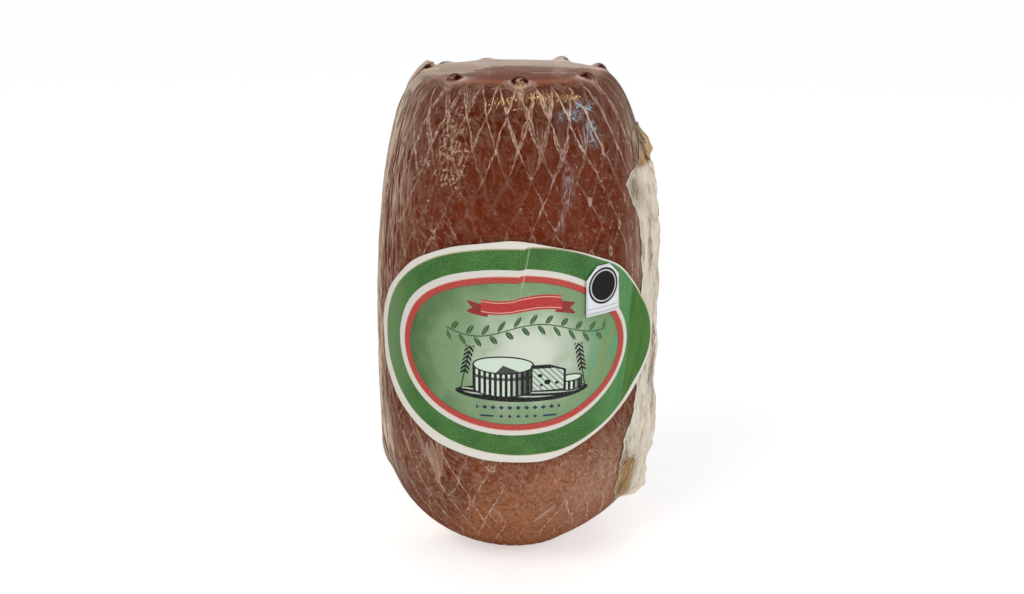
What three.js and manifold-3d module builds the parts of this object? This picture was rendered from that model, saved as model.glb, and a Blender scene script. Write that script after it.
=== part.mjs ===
// A smoked provolone of about 400 g, vacuum packed in clear shrink film.
// Millimetres, +Z up. The origin is the middle of the small flat foot that the cheese stands on.
// The front, with the label, faces -Y. Angles go round the Z axis from the front towards +X.
import * as THREE from "three";
import { mergeVertices } from "three/addons/utils/BufferGeometryUtils.js";
import Module from "manifold-3d";

const wasm = await Module();
wasm.setup();

// Driving sizes of the cheese
const BELLY_RADIUS = 34.3;
const HEIGHT = 118.3;
const BELLY_HEIGHT = 57.5; // where the cheese is widest

// The two halves of its outline, each a superellipse from the belly to one end
const SHOULDER_REACH = 63.1;
const SHOULDER_BEND = 1.68;
const SHOULDER_FULLNESS = 6.23;
const DOME_REACH = 60.55;
const DOME_BEND = 4.68;
const DOME_FULLNESS = 1.54;

// Slow unevenness of the round section, as a moulded cheese has
const LUMP_DEPTH = 0.3;

// The net that the cheese was smoked in left a diamond pattern of grooves
const STRANDS = 32; // in each of the two directions
const STEPS_PER_STRAND = 3; // mesh steps from one strand to the next
const WALL_ROWS = 50;
const GROOVE_DEPTH = 0.45;
const KNOT_DEPTH = 0.7;
const PLAIN_ROWS = 2; // rows beside each end that carry no groove

// Small nubs round the top rim, where the net was drawn up
const NUBS = 8;
const NUB_RADIUS = 2.1; // level
const NUB_RISE = 1.6; // upright, from its middle to its top
const NUB_SINK = 0.4; // how far a nub's middle lies under the rim
const NUB_START = 2;
const NUB_DRIFT = 5;
const NUB_DRIFT_STEP = 36;

// Clearance between neighbouring pieces
const GAP = 0.3;

// Oval paper label, wrapped round the front
const LABEL_HALF_WIDTH = 39.9;
const LABEL_SHIFT = 0.7; // of its middle, towards the right seam
const LABEL_HALF_HEIGHT = 26.2;
const LABEL_HEIGHT = 58.2; // of its middle
const LABEL_THICKNESS = 0.35;
const LABEL_RINGS = 7;
const LABEL_SIDES = 40;
// Its right end rides up on the folded film seam
const LABEL_LIFT = 1.8;
const LIFT_START = 50;
const LIFT_END = 68;

// Small sticker on the label
const STICKER_WIDTH = 10.6;
const STICKER_HEIGHT = 12.6;
const STICKER_CORNER = 2.4;
const STICKER_THICKNESS = 0.3;
const STICKER_ANGLE = 39;
const STICKER_MIDDLE = 71.3;
const STICKER_TILT = -8;

// Film seams, folded against the sides. Turns and spreads round the cheese are in degrees.
const SEAM_STEPS = 42;
const SEAM_EDGE = 0.35; // least thickness of a fold

// The right seam runs down the whole side. Its free edge has a turned-out corner, is narrower above
// the corner, and is wider under the label.
const RIGHT_LOW = 8;
const RIGHT_HIGH = 105;
const RIGHT_FRONT = 70;
const RIGHT_BACK = 96;
const RIGHT_THICK = 1.45;
const CORNER_HEIGHT = 90;
const CORNER_TURN = 12;
const CORNER_SPREAD = 2.6; // in height
const NARROW_TURN = 9;
const NARROW_RISE = 5; // height in which it narrows
const UNDER_LABEL_TURN = 8;
const UNDER_LABEL_SPREAD = 16; // in height

// The left seam is drawn up to a nub at the rim. It runs behind the side, and shows at both ends.
const LEFT_LOW = 10;
const LEFT_HIGH = 116.5;
const LEFT_ENDS = -95;
const LEFT_SWING = 17;
const LEFT_SPREAD = 9;
const LEFT_THICK = 0.6;
const LEFT_SWELL = 0.9; // more thickness where it shows
const LEFT_FOOT_SWELL = 18; // heights of the two swells
const LEFT_RIM_SWELL = 113;
const LEFT_SWELL_SPREAD = 7.5;

const radians = THREE.MathUtils.degToRad;
const smoothstep = THREE.MathUtils.smoothstep;

// A smooth hump of height 1 at the middle, fading to 0 over about twice the width
function hump(value, middle, width) {
  return Math.exp(-(((value - middle) / width) ** 2));
}

// A wave of this depth and length
function ripple(value, depth, length, start = 0) {
  return depth * Math.sin((2 * Math.PI * value) / length + start);
}

// Radius of the plain round outline at a height
function outlineRadius(z) {
  const up = z > BELLY_HEIGHT;
  const reach = Math.abs(z - BELLY_HEIGHT) / (up ? SHOULDER_REACH : DOME_REACH);
  const bend = up ? SHOULDER_BEND : DOME_BEND;
  const fullness = up ? SHOULDER_FULLNESS : DOME_FULLNESS;
  return BELLY_RADIUS * (1 - reach ** bend) ** (1 / fullness);
}

// How far the section departs from a circle, fading out at both ends
function lump(angle, z) {
  const share = THREE.MathUtils.clamp(z / HEIGHT, 0, 1);
  const fade = Math.sqrt(Math.sin(Math.PI * share));
  const oval = Math.sin(2 * angle + 1.1 + 2.6 * share);
  const threeSided = Math.sin(3 * angle - 0.7 + 5 * share);
  return (LUMP_DEPTH * fade * (oval + 0.6 * threeSided)) / 1.6;
}

function bodyRadius(angle, z) {
  return outlineRadius(z) + lump(angle, z);
}

// A point at an angle and height, this far out from the cheese
function aroundBody(angle, z, out) {
  const r = bodyRadius(angle, z) + out;
  return new THREE.Vector3(r * Math.sin(angle), -r * Math.cos(angle), z);
}

// The wall's outline from foot to rim, as a curve that can be divided by length
class WallOutline extends THREE.Curve {
  getPoint(t, target = new THREE.Vector2()) {
    const z = (HEIGHT * (1 - Math.cos(Math.PI * t))) / 2;
    return target.set(outlineRadius(z), z);
  }
}

function toSolid(geometry) {
  geometry.deleteAttribute("normal");
  geometry.deleteAttribute("uv");
  const merged = mergeVertices(geometry, 1e-4);
  return new wasm.Manifold(
    new wasm.Mesh({
      numProp: 3,
      vertProperties: merged.attributes.position.array,
      triVerts: new Uint32Array(merged.index.array),
    }),
  );
}

function toGeometry(solid) {
  const { vertProperties, triVerts } = solid.getMesh();
  const geometry = new THREE.BufferGeometry();
  geometry.setAttribute("position", new THREE.BufferAttribute(vertProperties, 3));
  geometry.setIndex(new THREE.BufferAttribute(triVerts, 1));
  geometry.computeVertexNormals();
  return geometry;
}

// Moves every vertex of a geometry to where place(point, index) says
function reshape(geometry, place) {
  const position = geometry.attributes.position;
  const point = new THREE.Vector3();
  for (let n = 0; n < position.count; n += 1) {
    point.fromBufferAttribute(position, n);
    position.setXYZ(n, ...place(point, n).toArray());
  }
  geometry.computeVertexNormals();
  return geometry;
}

// The cheese in its tight film. It is a lathe whose rows are each turned by half a column more than
// the row below, so that the mesh lines run both ways along the strands of the net.
function wrappedCheese() {
  const outline = new WallOutline();
  outline.arcLengthDivisions = 2000;
  const wall = outline.getSpacedPoints(WALL_ROWS);
  const profile = [new THREE.Vector2(0, 0), ...wall, new THREE.Vector2(0, HEIGHT)];
  const columns = STRANDS * STEPS_PER_STRAND;
  const turn = (2 * Math.PI) / columns;
  const body = reshape(new THREE.LatheGeometry(profile, columns), (point, n) => {
    const row = n % profile.length;
    const column = Math.floor(n / profile.length) % columns;
    const { x: radius, y: z } = profile[row];
    const angle = turn * (column + row / 2);
    if (radius === 0) return new THREE.Vector3(0, 0, z);
    const r = radius + lump(angle, z) - netGroove(column, row);
    return new THREE.Vector3(r * Math.sin(angle), -r * Math.cos(angle), z);
  });
  return toGeometry(rimNubs().reduce((solid, nub) => solid.add(nub), toSolid(body)));
}

// Depth of the groove at a mesh point: on a strand, at a knot of two, or none between them
function netGroove(column, row) {
  if (row <= PLAIN_ROWS || row > WALL_ROWS + 1 - PLAIN_ROWS) return 0;
  const onOne = column % STEPS_PER_STRAND === 0;
  const onOther = (column + row) % STEPS_PER_STRAND === 0;
  if (onOne && onOther) return KNOT_DEPTH;
  return onOne || onOther ? GROOVE_DEPTH : 0;
}

function rimNubs() {
  const rim = outlineRadius(HEIGHT);
  return Array.from({ length: NUBS }, (_, k) => {
    const drift = NUB_DRIFT * Math.sin(radians(k * NUB_DRIFT_STEP));
    const angle = radians(NUB_START + (360 / NUBS) * k + drift);
    const nub = new THREE.SphereGeometry(1, 10, 6);
    nub.rotateX(Math.PI / 2);
    nub.scale(NUB_RADIUS, NUB_RADIUS, NUB_RISE);
    nub.translate(rim * Math.sin(angle), -rim * Math.cos(angle), HEIGHT - NUB_SINK);
    return toSolid(nub);
  });
}

// How far the label's right end stands off the cheese at an angle
function labelLift(angle) {
  return LABEL_LIFT * smoothstep(angle, radians(LIFT_START), radians(LIFT_END));
}

// A thin round plate of radius 1 and thickness 1, stretched to the oval and wrapped round the cheese
function label() {
  const radii = Array.from({ length: LABEL_RINGS + 1 }, (_, k) => k / LABEL_RINGS);
  const underside = radii.map((r) => new THREE.Vector2(r, 0));
  const face = radii.toReversed().map((r) => new THREE.Vector2(r, 1));
  const plate = new THREE.LatheGeometry([...underside, ...face], LABEL_SIDES);
  return reshape(plate, (point) => {
    const angle = (LABEL_SHIFT + LABEL_HALF_WIDTH * point.x) / BELLY_RADIUS;
    const z = LABEL_HEIGHT - LABEL_HALF_HEIGHT * point.z;
    return aroundBody(angle, z, GAP + labelLift(angle) + LABEL_THICKNESS * point.y);
  });
}

// A plate with its two top corners cut, wrapped over the label. The box's top row of steps narrows
// by the cut, and the rows below it share the straight part of the sides.
function sticker() {
  const rows = 5;
  const cutAt = STICKER_HEIGHT / 2 - STICKER_CORNER;
  const plate = reshape(new THREE.BoxGeometry(1, 1, 1, 5, rows, 1), ({ x, y, z }) => {
    const row = (y + 0.5) * rows;
    const straight = Math.min(row / (rows - 1), 1);
    const cut = STICKER_CORNER * Math.max(row - rows + 1, 0);
    const up = THREE.MathUtils.lerp(-STICKER_HEIGHT / 2, cutAt, straight) + cut;
    return new THREE.Vector3(x * (STICKER_WIDTH - 2 * cut), up, z + 0.5);
  });
  plate.rotateZ(radians(STICKER_TILT));
  return reshape(plate, (point) => {
    const angle = radians(STICKER_ANGLE) + point.x / BELLY_RADIUS;
    const out = GAP + LABEL_THICKNESS + GAP + STICKER_THICKNESS * point.z;
    return aroundBody(angle, STICKER_MIDDLE + point.y, out);
  });
}

// A crumpled film seam that lies folded against the side of the cheese: a box with steps along and
// across, bent so that it runs from one angle to another and bulges between its two long edges
function filmSeam({ low, high, edge, root, thickness }) {
  const strip = new THREE.BoxGeometry(1, 1, 1, 5, 1, SEAM_STEPS);
  return reshape(strip, (point) => {
    const z = THREE.MathUtils.lerp(low, high, 0.5 - point.z);
    const across = point.x + 0.5;
    const angle = radians(THREE.MathUtils.lerp(edge(z), root(z), across));
    return aroundBody(angle, z, GAP + thickness(z, across, angle) * (point.y + 0.5));
  });
}

// The fold's section: thin at both edges and thickest at the middle
function foldSection(across) {
  return Math.sin(Math.PI * across) ** 0.7;
}

function rightSeam() {
  const underLabel = (z, angle) =>
    Math.abs(z - LABEL_HEIGHT) < LABEL_HALF_HEIGHT && angle < radians(LIFT_END + 2);
  return filmSeam({
    low: RIGHT_LOW,
    high: RIGHT_HIGH,
    edge: (z) => {
      const corner = CORNER_TURN * hump(z, CORNER_HEIGHT, CORNER_SPREAD);
      const wide = UNDER_LABEL_TURN * hump(z, LABEL_HEIGHT, UNDER_LABEL_SPREAD);
      const narrowFrom = CORNER_HEIGHT + 2;
      const narrow = NARROW_TURN * smoothstep(z, narrowFrom, narrowFrom + NARROW_RISE);
      return RIGHT_FRONT - corner - wide + narrow + ripple(z, 1.5, 18);
    },
    root: (z) => RIGHT_BACK + ripple(z, 3, 57),
    thickness: (z, across, angle) => {
      const foot = smoothstep(z, RIGHT_LOW, RIGHT_LOW + 9);
      const head = 1 - smoothstep(z, RIGHT_HIGH - 12, RIGHT_HIGH);
      const crumple = ripple(z, 0.4, 27, 1.4) + ripple(z, 0.3, 10.3) + ripple(z, 0.2, 4.8, 5 * across);
      const free = SEAM_EDGE + (RIGHT_THICK + crumple) * foldSection(across) * (0.4 + 0.6 * foot * head);
      const room = Math.max(labelLift(angle) - GAP, 0.05);
      return underLabel(z, angle) ? Math.min(free, room) : free;
    },
  });
}

function leftSeam() {
  const length = LEFT_HIGH - LEFT_LOW;
  const middle = (z) => LEFT_ENDS - LEFT_SWING * Math.sin((Math.PI * (z - LEFT_LOW)) / length);
  return filmSeam({
    low: LEFT_LOW,
    high: LEFT_HIGH,
    edge: (z) => middle(z) - LEFT_SPREAD - ripple(z, 1.5, 21),
    root: (z) => middle(z) + LEFT_SPREAD,
    thickness: (z, across) => {
      const foot = hump(z, LEFT_FOOT_SWELL, LEFT_SWELL_SPREAD);
      const rim = hump(z, LEFT_RIM_SWELL, LEFT_SWELL_SPREAD);
      const crumple = ripple(z, 0.18, 9) + ripple(z, 0.12, 3.7, 4 * across);
      return SEAM_EDGE + (LEFT_THICK + LEFT_SWELL * (foot + rim) + crumple) * foldSection(across);
    },
  });
}

const smokedCheese = new THREE.MeshStandardMaterial({ color: 0x7a3d28, roughness: 0.25, metalness: 0 });
const clearFilm = new THREE.MeshStandardMaterial({ color: 0xc9bfae, roughness: 0.35, metalness: 0 });
const printedPaper = new THREE.MeshStandardMaterial({ color: 0x4a7a41, roughness: 0.55, metalness: 0 });
const stickerPaper = new THREE.MeshStandardMaterial({ color: 0x2e2a26, roughness: 0.5, metalness: 0 });

const provolone = new THREE.Group();
function addPiece(name, geometry, material) {
  const mesh = new THREE.Mesh(geometry, material);
  mesh.name = name;
  provolone.add(mesh);
}

addPiece("wrapped_cheese", wrappedCheese(), smokedCheese);
addPiece("seam_right", rightSeam(), clearFilm);
addPiece("seam_left", leftSeam(), clearFilm);
addPiece("label", label(), printedPaper);
addPiece("sticker", sticker(), stickerPaper);

export default provolone;
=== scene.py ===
"""A smoked provolone in clear shrink film: the looks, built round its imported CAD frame.

Shapes are worked out in millimetres and put into meshes in metres. Angles go round the Z axis from
the front, where the label is, towards +X.
"""

import math

import bpy
import numpy as np
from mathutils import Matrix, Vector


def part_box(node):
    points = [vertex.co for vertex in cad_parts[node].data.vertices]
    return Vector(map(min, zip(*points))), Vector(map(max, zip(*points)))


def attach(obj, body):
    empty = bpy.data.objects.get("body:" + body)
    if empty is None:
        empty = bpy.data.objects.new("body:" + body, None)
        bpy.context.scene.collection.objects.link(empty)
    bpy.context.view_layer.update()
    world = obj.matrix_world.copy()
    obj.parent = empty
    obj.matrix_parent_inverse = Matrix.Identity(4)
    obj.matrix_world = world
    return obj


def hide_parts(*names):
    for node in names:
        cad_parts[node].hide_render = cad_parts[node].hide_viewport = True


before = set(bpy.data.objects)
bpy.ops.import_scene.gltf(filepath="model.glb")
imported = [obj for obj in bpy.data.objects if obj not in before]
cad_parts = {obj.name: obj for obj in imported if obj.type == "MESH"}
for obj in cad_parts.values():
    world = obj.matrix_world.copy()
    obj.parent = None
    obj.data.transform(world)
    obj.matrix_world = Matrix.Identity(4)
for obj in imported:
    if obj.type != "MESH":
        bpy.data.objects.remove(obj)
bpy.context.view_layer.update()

MM = 0.001

# Camera: a phone held a little above the cheese at arm's length, looking down by 16 degrees.
CAMERA_LENS = 52.3
CAMERA_SENSOR = 36.0
CAMERA_REACH = 370.3
CAMERA_RISE = math.radians(16.2)
CAMERA_SIDE = -0.62
CAMERA_AIM = 61.7

camera = bpy.data.objects.new("camera", bpy.data.cameras.new("camera"))
bpy.context.scene.collection.objects.link(camera)
camera.data.lens = CAMERA_LENS
camera.data.sensor_width = CAMERA_SENSOR
camera.data.clip_start = 0.01
camera.data.clip_end = 50.0
camera.location = (
    CAMERA_SIDE * MM,
    -CAMERA_REACH * math.cos(CAMERA_RISE) * MM,
    (CAMERA_AIM + CAMERA_REACH * math.sin(CAMERA_RISE)) * MM,
)
camera.rotation_euler = (math.pi / 2 - CAMERA_RISE, 0, 0)
bpy.context.scene.camera = camera


# Materials: node trees written as arithmetic. A mask is a number from 0 to 1 over the surface, and most
# lines below make one mask out of others.
class Wire:
    """A shader socket. Arithmetic on wires adds the Math nodes that work it out."""

    def __init__(self, tree, socket=None):
        self.tree = tree
        self.socket = socket

    def node(self, kind, settings=None, inputs=None, output=0):
        """Adds a node: its settings first, then the values or wires of its sockets."""
        made = self.tree.nodes.new(kind)
        for name, value in (settings or {}).items():
            setattr(made, name, value)
        for key, value in (inputs or {}).items():
            if isinstance(value, Wire):
                self.tree.links.new(value.socket, made.inputs[key])
            else:
                made.inputs[key].default_value = value
        return Wire(self.tree, made.outputs[output])

    def maths(self, operation, *values):
        return self.node("ShaderNodeMath", {"operation": operation}, dict(enumerate(values)))

    def __add__(self, other):
        return self.maths("ADD", self, other)

    def __sub__(self, other):
        return self.maths("SUBTRACT", self, other)

    def __mul__(self, other):
        return self.maths("MULTIPLY", self, other)

    def __truediv__(self, other):
        return self.maths("DIVIDE", self, other)

    def __pow__(self, other):
        return self.maths("POWER", self, other)

    def __rsub__(self, other):
        return self.maths("SUBTRACT", other, self)

    def __rtruediv__(self, other):
        return self.maths("DIVIDE", other, self)

    __radd__ = __add__
    __rmul__ = __mul__

    def __abs__(self):
        return self.maths("ABSOLUTE", self)

    def least(self, other):
        return self.maths("MINIMUM", self, other)

    def most(self, other):
        return self.maths("MAXIMUM", self, other)

    def fade(self, start, end):
        """0 at start and 1 at end, smooth between them, whichever of the two is larger."""
        settings = {"interpolation_type": "SMOOTHSTEP"}
        inputs = {"Value": self, "From Min": start, "From Max": end, "To Min": 0.0, "To Max": 1.0}
        return self.node("ShaderNodeMapRange", settings, inputs)

    def blend(self, under, over):
        """A colour: under where this mask is 0, over where it is 1. Display values are made linear."""
        under, over = [srgb(*end) if isinstance(end, tuple) else end for end in (under, over)]
        settings = {"data_type": "RGBA", "clamp_factor": True}
        return self.node("ShaderNodeMix", settings, {0: self, 6: under, 7: over}, output=2)

    def stretch(self, scale):
        """This vector times a vector of scales."""
        return self.node("ShaderNodeVectorMath", {"operation": "MULTIPLY"}, {0: self, 1: scale})

    def part(self, axis):
        """One number of this vector: 0 is x, 1 is y and 2 is z."""
        return self.node("ShaderNodeSeparateXYZ", None, {0: self}, output=axis)

    def pair(self, x, y):
        """A vector of two number wires and 0."""
        return self.node("ShaderNodeCombineXYZ", None, {0: x, 1: y})

    def wrap(self, low, high):
        return self.maths("WRAP", self, high, low)

    def zigzag(self, reach):
        """This number folded back and forth between 0 and the reach."""
        return self.maths("PINGPONG", self, reach)

    def sine(self):
        return self.maths("SINE", self)

    def shaken(self, amount):
        """This vector moved by a number wire along all three axes."""
        return self.node("ShaderNodeVectorMath", {"operation": "ADD"}, {0: self, 1: amount})

    def cells(self, scale, kind="F1", output=0):
        """Cells round scattered points: the way to the nearest point or border, or output 1, a random
        colour for each cell, or output 2, the place of its point."""
        return self.node("ShaderNodeTexVoronoi", {"feature": kind}, {"Vector": self, "Scale": scale}, output)

    def noise(self, scale, detail=2.0, roughness=0.5, distortion=0.0):
        inputs = {
            "Vector": self,
            "Scale": scale,
            "Detail": detail,
            "Roughness": roughness,
            "Distortion": distortion,
        }
        return self.node("ShaderNodeTexNoise", None, inputs)

    def bump(self, strength, distance):
        """The normal, bent by this height."""
        inputs = {"Strength": strength, "Distance": distance, "Height": self}
        return self.node("ShaderNodeBump", None, inputs)

    def place(self):
        """Object coordinates, in metres."""
        return self.node("ShaderNodeTexCoord", output=3)

    def uv(self, name):
        return self.node("ShaderNodeUVMap", {"uv_map": name})

    def mask(self, name):
        """A number that the mesh holds at each point."""
        return self.node("ShaderNodeAttribute", {"attribute_name": name}, output=2)


def srgb(red, green, blue):
    """A colour from its 0 to 255 display values, as the linear values that a socket takes."""
    shares = np.array([red, green, blue]) / 255
    low = shares / 12.92
    high = ((shares + 0.055) / 1.055) ** 2.4
    return (*np.where(shares <= 0.04045, low, high), 1.0)


def new_material(name, **fixed):
    """A material with a Principled shader, whose uniform values are set here. Gives it and a wire."""
    material = bpy.data.materials.new(name)
    material.use_nodes = True
    tree = material.node_tree
    shader = tree.nodes["Principled BSDF"]
    for key, value in fixed.items():
        shader.inputs[key.replace("_", " ")].default_value = value
    return material, Wire(tree), shader


def plug(shader, **wires):
    for key, wire in wires.items():
        wire.tree.links.new(wire.socket, shader.inputs[key.replace("_", " ")])


# Studio: a pale sweep, one large soft lamp at the upper left and a fill at the right, three small warm
# lamps overhead and three cool window panes at the right, which make the small glints on the shoulder.
SWEEP_WIDTH = 6.0
SWEEP_FRONT = -2.5
SWEEP_BACK = 1.6
SWEEP_BEND = 0.8
SWEEP_HEIGHT = 3.0

bend = np.linspace(0, math.pi / 2, 24)
sweep_y = np.concatenate([[SWEEP_FRONT], SWEEP_BACK + SWEEP_BEND * np.sin(bend), [SWEEP_BACK + SWEEP_BEND]])
sweep_z = np.concatenate([[0], SWEEP_BEND * (1 - np.cos(bend)), [SWEEP_HEIGHT]])
sweep_points = [(side * SWEEP_WIDTH / 2, y, z) for side in (-1, 1) for y, z in zip(sweep_y, sweep_z)]
count = len(sweep_y)
sweep_faces = [(n, n + count, n + count + 1, n + 1) for n in range(count - 1)]
sweep_mesh = bpy.data.meshes.new("sweep")
sweep_mesh.from_pydata(sweep_points, [], sweep_faces)
sweep_mesh.shade_smooth()
sweep = bpy.data.objects.new("sweep", sweep_mesh)
bpy.context.scene.collection.objects.link(sweep)
sweep_paint, wire, shader = new_material(
    "sweep_paint",
    Base_Color=srgb(236, 236, 236),
    Roughness=0.9,
    Emission_Color=(1, 1, 1, 1),
    Emission_Strength=0.50,
)
sweep_mesh.materials.append(sweep_paint)
sweep.visible_glossy = False


LAMP_AIM = (0, 0, 0.06)


def lamp(name, place, size, watts, colour):
    """A square-cornered lamp turned to face the aim."""
    light = bpy.data.lights.new(name, "AREA")
    light.shape = "RECTANGLE"
    light.size, light.size_y = size
    light.energy = watts
    light.color = colour
    holder = bpy.data.objects.new(name, light)
    bpy.context.scene.collection.objects.link(holder)
    holder.location = place
    way = np.array(LAMP_AIM) - np.array(place)
    turn = math.atan2(way[0], -way[1])
    tilt = math.atan2(math.hypot(way[0], way[1]), -way[2])
    holder.rotation_euler = (tilt, 0, turn + math.pi)
    return holder


lamp("soft_box", (-0.75, -0.85, 1.0), (0.9, 0.9), 7.3, (1.0, 0.98, 0.95)).visible_glossy = False
lamp("fill_card", (0.9, -0.7, 0.5), (0.8, 0.8), 4.4, (1.0, 0.98, 0.96)).visible_glossy = False
for n, place in enumerate([(-0.13, -0.53, 0.97), (0.36, -0.32, 1.0), (0.68, -0.15, 0.85)]):
    lamp(f"warm_lamp_{n}", place, (0.18, 0.08), 2.6, (1.0, 0.68, 0.28)).visible_diffuse = False
for n, place in enumerate([(0.78, -0.43, 0.61), (0.85, -0.08, 0.67), (0.95, -0.23, 0.40)]):
    lamp(f"window_pane_{n}", place, (0.10, 0.13), 1.5, (0.36, 0.78, 1.0)).visible_diffuse = False

world = bpy.data.worlds.new("studio")
world.use_nodes = True
world.node_tree.nodes["Background"].inputs["Color"].default_value = (0.93, 0.96, 1.0, 1.0)
world.node_tree.nodes["Background"].inputs["Strength"].default_value = 0.38
world.cycles_visibility.glossy = False
bpy.context.scene.world = world
bpy.context.scene.view_settings.view_transform = "Standard"


# Cheese: one moulded barrel of smoked provolone, brown on the outside and a little uneven, with
# the shallow grooves of its net and eight nubs where the net was drawn up round the top.
BELLY_RADIUS = 34.3
BELLY_HEIGHT = 57.5
NUB_HEIGHT = 1.2
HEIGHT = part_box("wrapped_cheese")[1].z / MM - NUB_HEIGHT
SHOULDER_REACH, SHOULDER_BEND, SHOULDER_FULLNESS = 63.1, 1.68, 6.23
DOME_REACH, DOME_BEND, DOME_FULLNESS = 60.55, 4.68, 1.54
LUMP_DEPTH = 0.3
FOOT_ROUNDING, RIM_ROUNDING = 1.3, 2.4
CHEESE_DEPTH = 0.16
COLUMNS = 344
WALL_STEP = 0.52
END_STEP = 1.0

NET_STRANDS = 35
NET_DIAMOND = 12.0
NET_GATHER, NET_GATHER_REACH = 6.0, 26.0
NET_PHASES = 0.48, 0.25
STRAND_WIDTH = 5.46
GROOVE_WIDTH = 0.55
GROOVE_DEPTH = 0.34

NUB_ANGLES = 3, 53, 98, 145, 200, 236, 266, 319
NUB_TALL = 1.05, 1.0, 1.1, 1.05, 0.3, 0.45, 1.15, 1.1
NUB_INSET = np.array([1.0, 1.0, 1.3, 1.2, 1.0, 1.0, 1.6, 1.1])
NUB_RADIUS = 1.75


def ease(value, start, end):
    """0 at start and 1 at end with a smoothstep between them."""
    share = np.clip((value - start) / (end - start), 0, 1)
    return share * share * (3 - 2 * share)


def hump(value, middle, width):
    """A bell of height 1 at the middle: e to the minus squared distance over width."""
    return np.exp(-(((value - middle) / width) ** 2))


def chance(numbers, seed):
    """A random share for each whole number: the fraction of a large multiple of its sine."""
    waves = np.sin(np.asarray(numbers) * 12.9898 + seed * 78.233) * 43758.5453
    return waves - np.floor(waves)


def grain(place, size, seed):
    """Smooth noise from 0 to 1: random values on a cubic lattice, blended by smoothsteps."""
    cell = place / size
    low = np.floor(cell)
    part = cell - low
    part = part * part * (3 - 2 * part)
    total = 0
    for corner in np.ndindex(2, 2, 2):
        key = (low + corner) @ np.array([1.0, 57.0, 113.0])
        share = np.prod(np.where(corner, part, 1 - part), axis=-1)
        total = total + share * chance(key, seed)
    return total


def wall_radius(z):
    """The barrel's radius: two superellipse halves, (1 - reach^bend)^(1/fullness), from the belly."""
    up = z > BELLY_HEIGHT
    reach = np.abs(z - BELLY_HEIGHT) / np.where(up, SHOULDER_REACH, DOME_REACH)
    bend = np.where(up, SHOULDER_BEND, DOME_BEND)
    fullness = np.where(up, SHOULDER_FULLNESS, DOME_FULLNESS)
    return BELLY_RADIUS * np.clip(1 - reach**bend, 0, None) ** (1 / fullness)


def lump(angle, z):
    """How far the round section departs from a circle: an oval, a three-sided wave, and a foot
    that is drawn in on the right."""
    share = np.clip(z / HEIGHT, 0, 1)
    oval = np.sin(2 * angle + 1.1 + 2.6 * share)
    three_sided = np.sin(3 * angle - 0.7 + 5 * share)
    drawn_in = 1.9 * (1 - ease(z, 3, 14)) * ease(z, 0.2, 3) * np.clip(np.cos(angle - 1.3), 0, 1) ** 2
    return LUMP_DEPTH * np.sqrt(np.sin(math.pi * share)) * (oval + 0.6 * three_sided) / 1.6 - drawn_in


def barrel_profile():
    """Radius, height and way along the profile, from the middle of the foot to that of the top.

    The flat foot, the wall and the flat top are set end to end, and a Gaussian rounds each rim."""
    z = HEIGHT * (1 - np.cos(np.linspace(0, math.pi, 4000))) / 2
    radius = np.concatenate([[0], wall_radius(z), [0]])
    height = np.concatenate([[0], z, [HEIGHT]])
    way = np.concatenate([[0], np.cumsum(np.hypot(np.diff(radius), np.diff(height)))])
    even = np.linspace(0, way[-1], 3001)
    step = even[1]
    radius = np.interp(even, way, radius)
    height = np.interp(even, way, height)

    def rounded(values, kind, rounding):
        reach = int(4 * rounding / step)
        weights = hump(np.arange(-reach, reach + 1) * step, 0, rounding * math.sqrt(2))
        padded = np.pad(values, reach, "reflect", reflect_type=kind)
        return np.convolve(padded, weights / weights.sum(), "valid")

    def both_rounded(values, kind):
        upper = ease(even, 50, 80)
        foot, rim = [rounded(values, kind, rounding) for rounding in (FOOT_ROUNDING, RIM_ROUNDING)]
        return foot * (1 - upper) + rim * upper

    radius, height = both_rounded(radius, "odd"), both_rounded(height, "even")
    return np.clip(radius, 0, None), height, even


PROFILE_RADIUS, PROFILE_HEIGHT, PROFILE_WAY = barrel_profile()
FOOT_WAY = wall_radius(np.array(0.0))
RIM_RADIUS = wall_radius(np.array(HEIGHT))
RIM_WAY = PROFILE_WAY[-1] - RIM_RADIUS


def barrel_grid():
    """Angles and ways of a grid over the barrel, close-set on the wall. Its columns start at the back."""
    foot = np.arange(END_STEP / 2, FOOT_WAY, END_STEP)
    wall = np.linspace(FOOT_WAY, RIM_WAY, int((RIM_WAY - FOOT_WAY) / WALL_STEP))
    nub_rows = np.arange(RIM_WAY + 0.5, RIM_WAY + 4, 0.5)
    top = np.append(nub_rows, np.arange(RIM_WAY + 4.8, PROFILE_WAY[-1] - END_STEP / 3, 1.4 * END_STEP))
    way = np.concatenate([foot, wall, top])
    angle = np.linspace(-math.pi, math.pi, COLUMNS + 1)
    return np.meshgrid(angle, way)


def on_barrel(angle, way, out):
    """Points this far out along the normal from the smooth barrel."""
    radius = np.interp(way, PROFILE_WAY, PROFILE_RADIUS)
    height = np.interp(way, PROFILE_WAY, PROFILE_HEIGHT)
    slope_r = np.interp(way, PROFILE_WAY, np.gradient(PROFILE_RADIUS, PROFILE_WAY))
    slope_z = np.interp(way, PROFILE_WAY, np.gradient(PROFILE_HEIGHT, PROFILE_WAY))
    length = np.hypot(slope_r, slope_z)
    radius = radius + lump(angle, height) + out * slope_z / length
    height = height - out * slope_r / length
    return np.stack([radius * np.sin(angle), -radius * np.cos(angle), height], axis=-1)


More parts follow.
